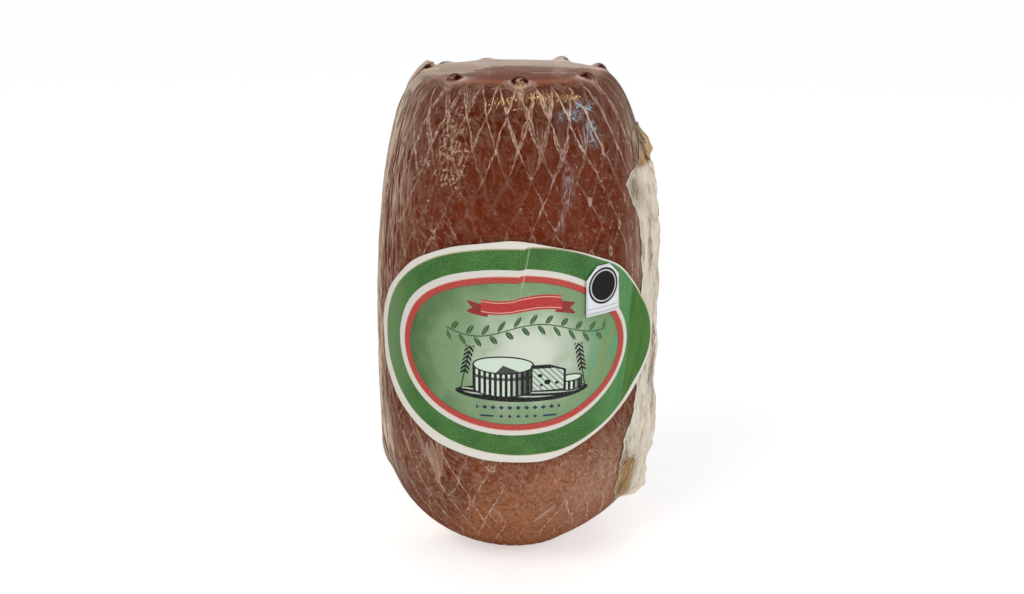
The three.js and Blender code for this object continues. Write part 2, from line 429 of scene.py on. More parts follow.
def closed_skin(name, points, material, maps=None, masks=None):
    """A closed mesh from a grid of points whose columns run round, the first one repeated at the end.

    Each end row is closed by a fan to its mean point. Maps give UV pairs and masks give attributes,
    both on the same grid."""
    rows, columns = points.shape[0], points.shape[1] - 1
    ids = np.arange(rows * columns).reshape(rows, columns)
    ids = np.append(ids, ids[:, :1], axis=1)
    corner_ids = np.arange(rows * (columns + 1)).reshape(rows, columns + 1)
    first, last = rows * columns, rows * columns + 1

    def quads(grid):
        return np.stack([grid[:-1, :-1], grid[:-1, 1:], grid[1:, 1:], grid[1:, :-1]], axis=-1).reshape(-1)

    def fan(grid, row, pole):
        poles = np.full(columns, pole)
        return np.stack([poles, grid[row, 1:], grid[row, :-1]][:: 1 if row == 0 else -1], axis=-1).reshape(-1)

    loops = np.concatenate([quads(ids), fan(ids, 0, first), fan(ids, -1, last)])
    ends = len(corner_ids.reshape(-1))
    corners = np.concatenate([quads(corner_ids), fan(corner_ids, 0, ends), fan(corner_ids, -1, ends + 1)])
    sizes = np.concatenate([np.full((rows - 1) * columns, 4), np.full(2 * columns, 3)])
    starts = np.concatenate([[0], np.cumsum(sizes)[:-1]])

    def with_poles(grid, repeated=False):
        kept = grid if repeated else grid[:, :-1]
        flat = kept.reshape(-1, *grid.shape[2:])
        return np.concatenate([flat, grid[:1, :-1].mean(axis=1), grid[-1:, :-1].mean(axis=1)])

    places = with_poles(points) * MM
    triangles = places[loops[starts[:, None] + np.arange(3)]]
    volume = np.einsum("ij,ij->", triangles[:, 0], np.cross(triangles[:, 1], triangles[:, 2]))
    if volume < 0:
        turned = np.concatenate([start + np.arange(size)[::-1] for start, size in zip(starts, sizes)])
        loops, corners = loops[turned], corners[turned]

    mesh = bpy.data.meshes.new(name)
    mesh.vertices.add(len(places))
    mesh.vertices.foreach_set("co", places.astype(np.float32).reshape(-1))
    mesh.loops.add(len(loops))
    mesh.loops.foreach_set("vertex_index", loops.astype(np.int32))
    mesh.polygons.add(len(sizes))
    mesh.polygons.foreach_set("loop_start", starts.astype(np.int32))
    mesh.update(calc_edges=True)
    mesh.polygons.foreach_set("use_smooth", np.ones(len(sizes), bool))
    for key, grid in (maps or {}).items():
        layer = mesh.uv_layers.new(name=key)
        layer.data.foreach_set("uv", with_poles(grid, repeated=True)[corners].astype(np.float32).reshape(-1))
    for key, grid in (masks or {}).items():
        layer = mesh.attributes.new(key, "FLOAT", "POINT")
        layer.data.foreach_set("value", with_poles(grid).astype(np.float32))
    mesh.validate()
    mesh.materials.append(material)
    piece = bpy.data.objects.new(name, mesh)
    bpy.context.scene.collection.objects.link(piece)
    return piece


angle, way = barrel_grid()
smooth = on_barrel(angle, way, 0)
height = smooth[..., 2]
degrees = np.degrees(angle)

# The two families of strands lean equally to each side, more steeply where the net was gathered.
# Slow and quick wobbles keep any two diamonds from being alike.
gathered = np.clip(way - (RIM_WAY - NET_GATHER_REACH), 0, None) / NET_GATHER_REACH
climb = (way - NET_GATHER * gathered**2) / NET_DIAMOND
wobble = 0.22 * (grain(smooth, 11, 1) - 0.5) + 0.06 * (grain(smooth, 3.1, 2) - 0.5)
lean_wobble = 0.22 * (grain(smooth, 13, 3) - 0.5) + 0.06 * (grain(smooth, 2.7, 4) - 0.5)
turns = angle * NET_STRANDS / (2 * math.pi)
strand_a = turns + climb + NET_PHASES[0] + wobble + lean_wobble
strand_b = turns - climb + NET_PHASES[1] + wobble - lean_wobble
off_a = np.abs(strand_a - np.round(strand_a)) * STRAND_WIDTH
off_b = np.abs(strand_b - np.round(strand_b)) * STRAND_WIDTH

on_wall = ease(way, FOOT_WAY - 3, FOOT_WAY + 4) * (1 - ease(way, RIM_WAY - 3, RIM_WAY + 1))
groove = GROOVE_DEPTH * np.maximum(hump(off_a, 0, GROOVE_WIDTH), hump(off_b, 0, GROOVE_WIDTH)) * on_wall
knot = 0.22 * hump(np.hypot(off_a, off_b), 0, 0.9) * on_wall

nub_angles = np.radians(NUB_ANGLES)
nub_places = on_barrel(nub_angles, 0 * nub_angles + RIM_WAY + NUB_INSET, 0 * nub_angles)
nub_ways = [np.linalg.norm(smooth - place, axis=-1) for place in nub_places]
nub_far = np.min(nub_ways, axis=0)
nub_shapes = [tall * np.exp(-((far / NUB_RADIUS) ** 3)) for tall, far in zip(NUB_TALL, nub_ways)]
nub_dome = np.max(nub_shapes, axis=0)

roughness = 0.10 * (grain(smooth, 4.5, 5) - 0.5) + 0.05 * (grain(smooth, 1.7, 6) - 0.5)
cheese_out = -CHEESE_DEPTH - groove - knot + nub_dome + roughness * on_wall
left_brown = 24 * ease(-degrees, 10, 34) * (1 - ease(-degrees, 80, 120))
paleness = 1 - ease(height + 15 * (grain(smooth, 11, 7) - 0.5) + left_brown, 20, 42)

rind, wire, shader = new_material("smoked_rind", IOR=1.45, Specular_IOR_Level=0.05)
place = wire.place()
blotch = place.noise(110.0, 4.0, 0.6).fade(0.34, 0.66)
streak = place.stretch((1.0, 1.0, 0.3)).noise(420.0, 3.0, 0.65).fade(0.35, 0.7)
pore = place.noise(1150.0, 3.0, 0.62, 0.5).fade(0.53, 0.62)
pore_patch = place.noise(230.0, 2.0, 0.5).fade(0.38, 0.60)
brown = blotch.blend((100, 37, 13), (118, 47, 19))
brown = (streak * 0.20).blend(brown, (130, 60, 30))
tan = blotch.blend((154, 90, 52), (178, 112, 74))
tan = (pore * pore_patch * 0.9).blend(tan, (98, 46, 22))
colour = wire.mask("pale").blend(brown, tan)
colour = (pore * 0.16).blend(colour, (80, 30, 14))
# The nubs are the cheese's own dark brown, deepened by painted shade
colour = wire.mask("nub").blend(colour, (40, 12, 8))
plug(shader, Base_Color=colour, Roughness=0.42 + streak * 0.15)
relief = place.noise(900.0, 3.0, 0.6) * 0.5 + streak * 0.3
plug(shader, Normal=relief.bump(0.25, 0.0003))

cheese = closed_skin(
    "cheese",
    on_barrel(angle, way, cheese_out),
    rind,
    masks={"pale": paleness, "nub": np.exp(-((nub_far / 1.7) ** 4))},
)
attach(cheese, "root")
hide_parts("wrapped_cheese")


# Film: clear shrink film that lies tight on the cheese and bridges the grooves of the net. Where it
# stands off, or is drawn into pleats and trapped bubbles, it shows as pale lines and a milky haze.
# Over the top and rim that haze is partly a painted reflection of the bright room above.
FILM_DEPTH = 0.05
FILM_SAG = 0.45
CLEAR_ALPHA = 0.30
FUNNEL_START = -0.2


def patches(*spots):
    """The sum of soft spots on the wall: strength times a bell in angle, the short way round, times a
    bell in height. A spot is its strength, degrees round, millimetres up, half width and half height."""
    total = 0
    for strength, at, tall_at, wide, tall in spots:
        off = (degrees - at + 180) % 360 - 180
        total = total + strength * np.exp(-((off / wide) ** 2) - ((height - tall_at) / tall) ** 2)
    return total


shoulder = ease(height, 94, 110) * (1 - ease(way, RIM_WAY - 3, RIM_WAY))
lower = 1 - ease(height, 14, 36)
left_edge = ease(-degrees, 65, 79) * (1 - ease(-degrees, 112, 136))
left_side = ease(-degrees, 34, 60) * (1 - ease(-degrees, 120, 150))
right_side = ease(degrees, 5, 45) * (1 - ease(degrees, 110, 150))
strand_ids = [np.round(strand) % NET_STRANDS for strand in (strand_a, strand_b)]
drop_out = [grain(smooth * (1, 1, 0.5), 6.5, seed) for seed in (11, 12)]
shown = []
for family, (ids, drop) in enumerate(zip(strand_ids, drop_out)):
    strength = (0.34 + 0.38 * chance(ids, 21 + family)) * (0.36 + 0.64 * ease(drop, 0.32, 0.58))
    strength = strength * (1 - 0.5 * family * right_side) * (1 - 0.4 * lower * (ids % 2) * family)
    strength = strength * (1 + 1.2 * lower) + (0.54 - 0.28 * family * right_side) * shoulder
    strength = strength + 0.26 * left_side * ease(height, 58, 88)
    shown.append(np.clip(strength, 0, 1) * on_wall)
crossing = chance(strand_ids[0] * 41 + strand_ids[1], 31)
funnel_ids = np.floor(strand_a - FUNNEL_START) * 37 + np.ceil(strand_b + FUNNEL_START)
funnel = np.clip(1.6 * chance(funnel_ids, 33) - 0.75, 0, 1) * shoulder

# Places where the film is drawn into pleats, or has trapped air, or lies off the cheese as a veil, and a
# patch of painted window reflection
ridged = patches(
    (0.9, -64, 98, 17, 20), (0.95, -76, 62, 18, 46), (0.4, 60, 78, 9, 14), (0.9, 76, 103, 19, 14),
    (0.8, 150, 84, 34, 26), (0.7, -140, 60, 30, 34), (0.6, 115, 45, 22, 30),
)
laced = patches(
    (0.95, -30, 107, 10, 7), (0.9, -28, 99, 7, 6), (0.5, -43, 99, 7, 8), (0.4, -47, 84, 6, 9),
    (0.7, 140, 100, 16, 8), (0.7, -120, 88, 12, 9), (0.45, 66, 98, 8, 8), (0.9, -9, 30.8, 6, 2.6),
    (0.6, 20, 31, 5, 3),
)
wormy = 0.34 + 0.20 * shoulder + patches(
    (0.5, 10, 24, 30, 12), (0.45, -38, 82, 17, 16), (0.8, -42, 26, 24, 16), (0.6, 48, 28, 26, 16),
    (0.5, 150, 50, 60, 40),
)
beaded = patches((1, 42, 92, 18, 18), (0.6, -52, 72, 22, 20), (0.7, 170, 70, 50, 40))
creased = patches((1, 50, 38, 12, 9), (0.9, 58, 76, 8, 13), (0.5, -66, 50, 12, 26), (0.5, -170, 40, 40, 20))
# A painted reflection of a window: a small streaked lilac patch on the right shoulder
window_reflection_patch = patches((1, 23, 96, 2.8, 4.6), (0.45, 19, 88, 3, 5))
faceted = patches((1, 25, 108.5, 17, 6), (0.6, 165, 106, 40, 7))
curly = patches((1, 10, 112.5, 24, 4.2), (0.5, -170, 112, 40, 5))
veil = 0.02 * left_side + patches(
    (0.16, 80, 104, 12, 14), (0.5, 60, 75, 6, 16), (0.1, -44, 26, 26, 15), (0.26, 46, 22, 26, 15),
    (0.16, 165, 60, 60, 60),
)
veil = veil * (0.35 + 1.3 * grain(smooth, 5, 8))
# Near the sides, mostly the left, the film is painted pale and creamy: partly film gathered beside the seams,
# partly painted sheen where the barrel turns away
edge_haze_and_sheen = 0.95 * left_edge + patches((0.95, -74, 27, 12, 12), (0.9, -80, 111, 14, 9))
creamy_haze_and_sheen = 0.6 * left_edge + patches((0.6, 78, 103, 14, 14), (1, -80, 27, 16, 16), (1, -84, 112, 16, 9))
veil = (veil + edge_haze_and_sheen * (0.25 + 1.3 * ease(grain(smooth * (1, 1, 0.16), 1.8, 14), 0.25, 0.75))) * on_wall
on_top = ease(way, RIM_WAY - 1.5, RIM_WAY + 2.0)
rim_band = ease(way, RIM_WAY - 5, RIM_WAY + 0.5)
foot_veil = 0.25 * (1 - ease(way, FOOT_WAY - 5, FOOT_WAY))
veil = np.clip(veil + foot_veil, 0, 1)

# Each nub shows as a dark arch round a browner mouth, with a hazy tail of film below it down the wall
tail, mouth, inner_side = 0, 0, 0
for nub_angle, inset in zip(nub_angles, NUB_INSET):
    across = np.abs((angle - nub_angle + math.pi) % (2 * math.pi) - math.pi)
    across = across * np.hypot(smooth[..., 0], smooth[..., 1])
    down = RIM_WAY + inset - way
    wide = 0.75 + 1.5 * np.exp(-np.clip(down - 1.5, 0, None) / 1.6)
    tail = tail + np.exp(-((across / wide) ** 4)) * ease(down, 1.4, 2.2) * (1 - ease(down, 4, 10))
    mouth = mouth + np.exp(-(np.hypot(across, (down - 1.0) / 0.85) ** 4))
    inner_side = inner_side + np.exp(-(np.hypot(across / 1.9, (down + 1.5) / 1.2) ** 4))

# Height of the film: it sags into the grooves, is drawn into ridges along the strands of the
# shoulder, and stands in a low cone round each nub.
gusset = np.exp(-(off_a * off_b) / 0.5)
ridges = 0.18 * gusset * shoulder * (0.5 + 0.5 * grain(smooth, 5, 9))
crinkle = 0.16 * (grain(smooth * (1.0, 1.0, 0.35), 1.5, 10) - 0.5) * (0.25 + np.clip(ridged, 0, 1))
crinkle = crinkle + 0.14 * (grain(smooth, 1.2, 13) - 0.5) * np.clip(laced, 0, 1)
taut = 1 - 0.88 * np.clip(faceted + curly, 0, 1)
nub_cone = 0.30 * np.exp(-((nub_far / 3.0) ** 2))
film_out = nub_dome + nub_cone - FILM_DEPTH
film_out = film_out + taut * (ridges + crinkle * on_wall - FILM_SAG * groove - 0.3 * knot)

clear_film, wire, shader = new_material("shrink_film", IOR=1.52)
mask = wire.mask
net_map, skin_map, place = wire.uv("net"), wire.uv("skin"), wire.place()
across, along = skin_map.part(0), skin_map.part(1)

# Ways to the nearest strand of each family in millimetres, made to wander a little. Near the rim a
# strand is a hazy band between two bright edges, and further down one thin line.
wander = skin_map.noise(0.28, 2.0, 0.5) - 0.5
drift = place.noise(330.0, 2.0, 0.5) - 0.5
jitter = skin_map.noise(1.2, 3.0, 0.62) - 0.5
strand = [net_map.part(n) for n in (0, 1)]
off = [strand[0].wrap(-0.5, 0.5) * STRAND_WIDTH + wander * 1.5 + jitter * 0.8]
off.append(strand[1].wrap(-0.5, 0.5) * STRAND_WIDTH + drift * 1.5 + jitter * -0.8)
uneven = skin_map.noise(0.9, 3.0, 0.6)
broken = skin_map.noise(0.42, 2.0, 0.55)
gathered = mask("shoulder")
width = uneven * 0.22 + gathered * 0.08 + 0.03
tone = place.noise(90.0, 2.0, 0.5).fade(0.3, 0.7)
apart = tone.fade(0.35, 0.9) * (gathered * 0.34 + 0.12)
lines = None
for n in (0, 1):
    line = abs(abs(off[n]) - apart).fade(width + 0.06, width * 0.3)
    between = (abs(off[n]) - apart).fade(0.25, -0.15) * (0.16 + gathered * 0.34)
    line = line.most(between) * mask("strand_a" if n == 0 else "strand_b")
    lines = line if lines is None else lines.most(line)
lines = lines * (0.50 + broken.fade(0.36, 0.52) * 0.50) * (0.55 + uneven.fade(0.34, 0.60) * 0.60)

# Over a knot the film bridges the sharp corner in a small V, and some knots are outlined ovals
aside = (off[0] + off[1]) * 0.564 + jitter * 0.7
over = (off[0] - off[1]) * 1.1
crossed = mask("crossing")
reach = crossed * 1.2 + gathered * 1.0 + 0.6
web = off[0].fade(-0.06, 0.12) * off[1].fade(0.06, -0.12) * over.fade(reach, reach * 0.3)
web = web * crossed.fade(0.30, 0.55) * (0.30 + uneven * 0.9)
hanging = off[0].fade(0.06, -0.12) * off[1].fade(-0.06, 0.12) * over.fade(-1.8, -0.4) * crossed.fade(0.5, 0.3)
web = web.most(hanging * uneven)
oval_far = ((aside * 1.6) ** 2 + (over * 0.95) ** 2) ** 0.5
eyelet = abs(oval_far - 1 + jitter * 1.2).fade(0.40, 0.10) * crossed.fade(0.86, 0.90)
eyelet = eyelet * uneven.fade(0.35, 0.55)
bead = ((aside * 1.9) ** 2 + (over * 0.8) ** 2).fade(1.2, 0.7) * crossed.fade(0.30, 0.40)
bead = bead * (0.12 + mask("beaded") * 0.66)
pinhole = oval_far.fade(0.55, 0.25) * crossed.fade(0.6, 0.7)

# Funnels: two strands that ran together near the rim, with the film stretched between them
funnel_a = strand[0].wrap(FUNNEL_START, 1 + FUNNEL_START) * STRAND_WIDTH
funnel_b = strand[1].wrap(-1 - FUNNEL_START, -FUNNEL_START) * STRAND_WIDTH
funnel_aside = (funnel_a + funnel_b) * 0.564 + jitter * 0.9 + wander * 0.8
funnel_over = (funnel_a - funnel_b) * 1.1
funnel_off = abs(funnel_aside) - (funnel_over * 0.13 + 0.18).most(0.1)
funnel_edge = abs(funnel_off).fade(0.30, 0.08) * funnel_over.fade(-0.4, 0.6) * funnel_over.fade(6.5, 3.5)
funnel_fill = funnel_off.fade(0.12, -0.35) * funnel_over.fade(-0.4, 1.0) * funnel_over.fade(6.0, 1.5)
funnels = (funnel_edge * 0.8).most(funnel_fill * (0.22 + uneven * 0.55)) * mask("funnel")

# Pleats drawn up along the side, lace round trapped bubbles, and fine slanting strokes and worms
drawn = skin_map.stretch((1.0, 0.07, 1.0)).noise(0.62, 1.5, 0.5, 0.1)
pleat = abs(drawn - 0.47).fade(0.045, 0.012).most(abs(drawn - 0.56).fade(0.040, 0.012)) * mask("ridged")
fine_drawn = skin_map.stretch((1.0, 0.14, 1.0)).noise(2.0, 3.0, 0.6)
fine_pleat = fine_drawn.fade(0.55, 0.64) * mask("ridged").most(mask("creased") * 0.9)
grit = skin_map.noise(1.05, 4.0, 0.72)
bubble_map = skin_map.stretch((1.0, 0.75, 1.0)).shaken(skin_map.noise(0.8, 3.0, 0.6) * 2.2)
lace_line = bubble_map.cells(0.66, "DISTANCE_TO_EDGE").fade(0.15, 0.05) * uneven.fade(0.40, 0.54)
speck = grit.fade(0.585, 0.615) * mask("wormy") * 0.45
lace_blot = grit.fade(0.57, 0.60)
lace_here = (mask("laced") + (skin_map.noise(0.34, 3.0, 0.6) - 0.5) * 3.4).fade(0.40, 1.0)
lace = lace_here * (lace_line * 0.80).most(lace_blot * (0.20 + broken * 0.6))
curl = skin_map.noise(0.75, 1.5, 0.5, 1.2)
worm = abs(curl - 0.5).fade(0.040, 0.010) * broken.fade(0.44, 0.58) * mask("wormy")
fleck_here = (mask("wormy") * 0.8).most(mask("beaded"))
fleck = skin_map.stretch((1.0, 0.40, 1.0)).noise(1.7, 2.0, 0.6).fade(0.60, 0.66) * fleck_here
slanting = wire.pair(across * 0.62 + along * 0.79, across * 0.16 - along * 0.12)
tick = slanting.noise(1.15, 2.0, 0.5).fade(0.63, 0.70) * broken.fade(0.5, 0.62)
stroke = abs(slanting.noise(1.25, 2.0, 0.5) - 0.5).fade(0.045, 0.012) * broken.fade(0.34, 0.50)
stroke = stroke * mask("wormy")
# The painted window reflection, broken into fine upright streaks
window_reflection = skin_map.stretch((1.0, 0.22, 1.0)).noise(2.2, 2.0, 0.6).fade(0.42, 0.58)
window_reflection = window_reflection * mask("window_reflection_patch").fade(0.2, 0.5)

# Flat folds of spare film: each is a pointed blade with a bright outline. Middle, half width, half
# height and lean are in millimetres, and the last number is how milky its middle is.
blades = None
for at_x, at_v, half_wide, half_tall, lean, full in (
    (-20.6, 50.5, 0.9, 6.0, -0.12, 0.65),
    (-19.0, 52.8, 0.9, 6.0, 0.04, 0.5),
    (-22.2, 52.2, 0.7, 3.2, -0.25, 0.8),
    (-24.6, 55.0, 0.45, 3.8, -0.37, 0.5),
    (-30.4, 53.5, 0.5, 3.0, -0.40, 0.7),
    (-5.0, 37.2, 1.5, 2.7, -0.35, 0.16),
    (7.8, 37.6, 0.45, 2.9, 1.05, 0.8),
    (64.0, 58.0, 1.0, 7.0, 0.1, 0.55),
    (96.0, 82.0, 0.9, 6.0, -0.15, 0.55),
    (128.0, 50.0, 1.0, 6.5, 0.12, 0.55),
    (152.0, 96.0, 0.8, 5.0, 0.0, 0.55),
):
    up = along - at_v + jitter * 1.2
    out = across - at_x - up * lean + jitter * 0.6
    half = (1 - up * up / half_tall**2).most(0.0) * half_wide
    edge = abs(abs(out) - half).fade(0.24, 0.06) * abs(up).fade(half_tall + 0.2, half_tall - 0.6)
    blade = (edge * (0.35 + uneven * 1.1)).most((abs(out) - half).fade(0.05, -0.2) * full)
    blades = blade if blades is None else blades.most(blade)

# The nubs: dark under their clear caps, their own dark brown deepened by painted shade round the dome, with a
# thin bright ring, a soft halo and a tail
nub_far_mm = mask("nub_far") + jitter * 0.9
nub_cap_and_shade = nub_far_mm.fade(2.1, 1.7) * (1 - mask("inner_side") * 0.85)
nub_ring = abs(nub_far_mm - 2.4).fade(0.35, 0.08) * 0.60
nub_rim = abs(nub_far_mm - 3.6).fade(0.30, 0.06) * 0.30
nub_halo = nub_far_mm.fade(4.0, 2.4) * nub_far_mm.fade(1.8, 2.2) * (0.08 + uneven * 0.55)
nub_cobweb = uneven.fade(0.50, 0.60) * mask("mouth") * 0.55
tails = mask("tail") * (0.20 + uneven.fade(0.30, 0.62) * 0.60 + fine_drawn.fade(0.42, 0.60) * 0.30)
rim_line = abs(along - (RIM_WAY - 1.6) + wander * 7.0).fade(0.30, 0.08) * broken.fade(0.46, 0.62) * 0.4

# The top: hazy from the back rim forward to a curved, soft front with a light line along its right. The
# haze is partly film haze and partly a painted reflection of the bright room above, and the light line
# is partly a painted highlight along the rim edge.
forward = place.part(1) * -1000
aside_mm = place.part(0) * 1000
front = forward - aside_mm.fade(-4.0, -13.0) * 14 - aside_mm.fade(6.0, 16.0) * 4 + wander * 5.0 + drift * 6.0
top_streak = place.stretch((0.3, 1.0, 1.0)).noise(480.0, 3.0, 0.6)
top_haze_and_reflection = 0.05 + front.fade(20.0, 9.0) * 0.12 + front.fade(10.0, 0.0) * 0.22 + front.fade(-1.0, -10.0) * 0.46
top_haze_and_reflection = top_haze_and_reflection * (0.80 + top_streak.fade(0.36, 0.64) * 0.28)
top_line = abs(forward - 6.5 - aside_mm.fade(13.0, 19.0) * 9 + wander * 2.0).fade(0.9, 0.2)
top_line = top_line * aside_mm.fade(1.5, 5.0) * (0.35 + uneven * 0.7)
# Streaky haze round the rim, partly a painted reflection that lightens the rounded rim
rim_haze_and_reflection = skin_map.stretch((0.5, 1.0, 1.0)).noise(0.45, 3.0, 0.6).fade(0.46, 0.62)
rim_haze_and_reflection = rim_haze_and_reflection * (0.34 - mask("on_top") * 0.28)
top_haze_and_reflection = top_haze_and_reflection.most(top_line).most(rim_haze_and_reflection) * mask("rim_band")

haze = (lines * 0.90).most(web * 0.78).most(eyelet * 0.60).most(bead).most(funnels * 0.75)
haze = haze * (1 - pinhole * 0.8)
haze = haze.most(pleat * 0.92).most(fine_pleat * 0.56).most(lace * 0.92).most(worm * 0.40).most(fleck * 0.56)
haze = haze.most(tick * 0.26).most(stroke * 0.36).most(speck).most(window_reflection * 0.50).most(blades * 0.74)
haze = haze.most(nub_halo).most(nub_ring).most(nub_rim)
haze = (haze * (1 - nub_cap_and_shade)).most(nub_cobweb).most(tails * 0.66).most(rim_line)
drawn_veil = 0.22 + drawn.fade(0.36, 0.60) * 0.55 + fine_drawn.fade(0.38, 0.62) * 0.45 + uneven * 0.25
veiled = (mask("veil") * drawn_veil).most(top_haze_and_reflection).least(1.0)
milk = 1 - (1 - haze) * (1 - veiled * (1 - nub_cap_and_shade))
glitter = mask("faceted").most(mask("curly"))
pores = grit.fade(0.475, 0.42) * mask("pale") * (0.3 + broken.fade(0.38, 0.56) * 0.7)
# More film shows on the rim band, to carry the painted reflection on the rim and top
body = CLEAR_ALPHA + glitter * 0.30 + mask("rim_band") * 0.45 + pores * 0.45
alpha = body + milk * (1 - body)
milky_and_lit = tone.blend((206, 172, 148), (190, 156, 136))
# Over the top the haze colour is lighter: painted reflection of the bright room above
milky_and_lit = mask("on_top").blend(milky_and_lit, (250, 228, 212))
# Creamy colour of that side haze and painted sheen
milky_and_lit = mask("creamy_haze_and_sheen").blend(milky_and_lit, (228, 206, 182))
# Lilac-grey where the window reflection is painted
milky_and_lit = (mask("window_reflection_patch") * 0.7).blend(milky_and_lit, (166, 152, 166))
clear = mask("pale").blend((gathered * 0.8).blend((112, 41, 14), (84, 26, 8)), (158, 94, 56))
# On the rim band the clear film is painted lighter, most of all on the top: painted reflection of the bright
# room above
clear = mask("rim_band").blend(clear, mask("on_top").blend((112, 50, 29), (198, 120, 90)))
clear = (pores * 0.9).blend(clear, (104, 48, 24))
# Dark over each nub: its own brown deepened by painted shade
clear = nub_cap_and_shade.blend(clear, (44, 14, 10))
clear = mask("mouth").blend(clear, (128, 66, 48))
plug(shader, Base_Color=(milk / alpha).blend(clear, milky_and_lit), Alpha=alpha)
plug(shader, Roughness=0.03 + milk.fade(0.25, 0.9) * 0.50)

# Where it glitters the film is cut into small flat facets, each tilted its own way, or curled
facet_spot, facet_turn = [skin_map.cells(0.66, output=n) for n in (2, 1)]
facet = (across - facet_spot.part(0)) * (facet_turn.part(0) - 0.5)
facet = facet + (along - facet_spot.part(1)) * (facet_turn.part(1) - 0.5)
film_relief = lines * 0.05 + web * 0.05 + pleat * 0.12 + worm * 0.03 + stroke * 0.02 + lace * 0.06
film_relief = film_relief + funnels * 0.12 + eyelet * 0.07 - pinhole * 0.06
film_relief = (film_relief + fine_drawn * 0.05 + uneven * 0.04) * (1 - glitter * 0.95)
film_relief = film_relief + facet * mask("faceted") * 0.17 + abs(curl - 0.5) * mask("curly") * 0.26
film_relief = film_relief + window_reflection * 0.05 + (nub_ring + nub_rim + blades + top_streak * mask("on_top")) * 0.10
plug(shader, Normal=film_relief.bump(0.8, 0.001))

film_masks = dict(funnel=funnel, window_reflection_patch=window_reflection_patch, faceted=faceted, curly=curly, creamy_haze_and_sheen=creamy_haze_and_sheen, tail=tail)
film_masks.update(mouth=mouth, inner_side=inner_side, strand_a=shown[0], strand_b=shown[1], veil=veil)
film_masks.update(shoulder=shoulder, pale=paleness, on_top=on_top, rim_band=rim_band)
wall_masks = dict(ridged=ridged, laced=laced, wormy=wormy, beaded=beaded, creased=creased, crossing=crossing)
film_masks = {name: np.clip(grid, 0, 1) for name, grid in film_masks.items()}
film_masks.update({name: np.clip(grid, 0, 1) * on_wall for name, grid in wall_masks.items()})
film_masks["nub_far"] = np.minimum(nub_far, 12)

film = closed_skin(
    "film",
    on_barrel(angle, way, film_out),
    clear_film,
    maps={
        "net": np.stack([strand_a, strand_b], axis=-1),
        "skin": np.stack([angle * BELLY_RADIUS, way], axis=-1),
    },
    masks=film_masks,
)
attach(film, "root")
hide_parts("wrapped_cheese")


# Where the label lies: worked out before the seams, because they are pressed in under it.
def round_barrel(angle, z, out):
    """Points at an angle and height, this far out level from the lumpy barrel."""
    radius = wall_radius(z) + lump(angle, z) + out
    return np.stack([radius * np.sin(angle), -radius * np.cos(angle), z], axis=-1)


LABEL_HALF_WIDTH, LABEL_HALF_HEIGHT = 39.2, 26.35
LABEL_SHIFT, LABEL_HEIGHT = 0.2, 57.95
LABEL_GAP, PAPER = 0.34, 0.16
LABEL_LIFT = 2.6


def label_lift(x, y):
    """How far the right end stands off, past a fold that leans with height."""
    fold = 33.0 + 0.18 * (y + 15)
    return LABEL_LIFT * ease(x - fold, -2.5, 8.0)


def past_pleat(x, y):
    """Way to the right of the pleat that crosses the top edge, and leans with height."""
    return x - 0.8 - 0.2 * (y - 16)


def label_out(x, y):
    """Height of the paper over the barrel: the lift, a pleat at the top and slow waves near the edge."""
    rim = (x / LABEL_HALF_WIDTH) ** 2 + (y / LABEL_HALF_HEIGHT) ** 2
    pleat = 0.22 * hump(past_pleat(x, y), 0, 0.7) * ease(y, 9, 20)
    flat = np.stack([x, y, 0 * x], axis=-1)
    waves = 0.16 * (grain(flat, 6, 71) - 0.5) * ease(rim, 0.5, 1.0) + 0.05 * (grain(flat, 3, 72) - 0.5)
    return LABEL_GAP + label_lift(x, y) + pleat + waves


def label_taper(x, y):
    """The oval is drawn in towards its right end, a little more below its middle than above."""
    return np.where(y < 0, 1 - 0.114 * ease(x, 4, 30), 1 - 0.045 * ease(x, -4, 14) - 0.045 * ease(x, 27, 36))


def under_label(angle, z):
    """How far out the seam may stand: as far as it likes, but under the label where that covers it."""
    x, y = angle * BELLY_RADIUS - LABEL_SHIFT, z - LABEL_HEIGHT
    y = y / label_taper(x, y)
    rim = np.sqrt((x / LABEL_HALF_WIDTH) ** 2 + (y / LABEL_HALF_HEIGHT) ** 2)
    return label_out(x, y) - 0.22 + 4 * ease(rim, 1.0, 1.09)


# Seams: the heat-sealed edges of the film bag, shrunk and crumpled against the sides. Each is a closed
# tube whose columns run out over the upper film and back under the lower one.
SEAM_ROWS, SEAM_COLUMNS = 400, 52
SEAM_THICKNESS, SEAM_GAP, SEAM_EDGE = 0.10, 0.03, 0.06
FLAT_FROM = 35.9


